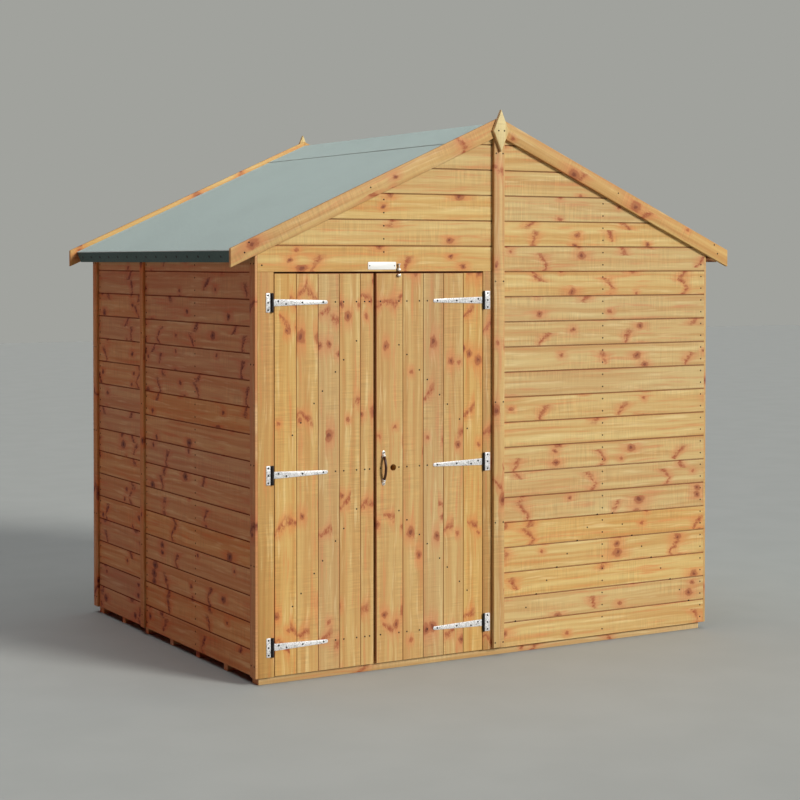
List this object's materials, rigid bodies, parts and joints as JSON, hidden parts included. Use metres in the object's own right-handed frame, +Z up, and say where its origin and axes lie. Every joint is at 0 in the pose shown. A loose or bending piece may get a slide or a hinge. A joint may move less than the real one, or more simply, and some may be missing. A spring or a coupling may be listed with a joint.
{
  "type": "garden shed",
  "caption": "Apex timber garden shed with shiplap walls, felted roof, outward-opening double doors, pull handle and small top bolt; hollow, with a boarded floor.",
  "frame": {"origin": "centre of the footprint on the ground, under the bearers", "axes": "+X to the right along the door wall, -Y out of the front with the doors, +Z up"},
  "size_m": [2.636, 1.95, 2.4467],
  "materials": {
    "cladding": "dip-treated pine, satin",
    "door_boards": "dip-treated pine, satin",
    "trim_timber": "dip-treated pine, satin",
    "framing_timber": "sawn pine, matt",
    "base_timber": "sawn pine, matt",
    "roof_boards": "sawn pine, matt",
    "roofing_felt": "mineral granules, rough",
    "zinc_steel": "bright zinc plated",
    "handle_metal": "dark polished bow, bright ends",
    "plate_white": "plain blank plate"
  },
  "bodies": {
    "shed": {"bearers": "base_timber", "floor_boards": "base_timber", "front_wall_right": "cladding", "front_wall_over_door": "cladding", "door_post_left": "cladding", "door_post_right": "cladding", "rear_wall_left": "cladding", "rear_wall_right": "cladding", "left_wall_front": "cladding", "left_wall_rear": "cladding", "right_wall_front": "cladding", "right_wall_rear": "cladding", "gable_cover_strips": "trim_timber", "side_cover_strips": "trim_timber", "corner_trims": "trim_timber", "side_studs": "framing_timber", "side_rails": "framing_timber", "gable_studs": "framing_timber", "gable_rails": "framing_timber", "rafters": "framing_timber", "roof_boards_left": "roof_boards", "roof_boards_right": "roof_boards", "roof_battens": "framing_timber", "felt_left": "roofing_felt", "felt_right": "roofing_felt", "ridge_felt": "roofing_felt", "bargeboard_front_left": "trim_timber", "bargeboard_front_right": "trim_timber", "bargeboard_rear_left": "trim_timber", "bargeboard_rear_right": "trim_timber", "finials": "trim_timber", "hinge_plates": "zinc_steel", "name_plate": "plate_white", "bolt_body": "zinc_steel"},
    "left_door": {"left_door_boards": "door_boards", "left_door_ledges": "framing_timber", "left_door_braces": "framing_timber", "left_door_straps": "zinc_steel"},
    "right_door": {"right_door_boards": "door_boards", "right_door_ledges": "framing_timber", "right_door_braces": "framing_timber", "right_door_straps": "zinc_steel", "door_handle": "handle_metal", "bolt_keep": "zinc_steel"},
    "bolt": {"bolt_shoot": "zinc_steel"}
  },
  "joints": [
    {"name": "left_door_hinge", "type": "hinge", "parent": "shed", "child": "left_door", "pos_m": [-1.122, -0.947, 0.878], "axis": [0, 0, -1], "range_deg": [0, 120]},
    {"name": "right_door_hinge", "type": "hinge", "parent": "shed", "child": "right_door", "pos_m": [-0.074, -0.947, 0.878], "axis": [0, 0, 1], "range_deg": [0, 120]},
    {"name": "bolt_slide", "type": "slide", "parent": "shed", "child": "bolt", "axis": [0, 0, -1], "range_m": [0, 0.016]}
  ]
}
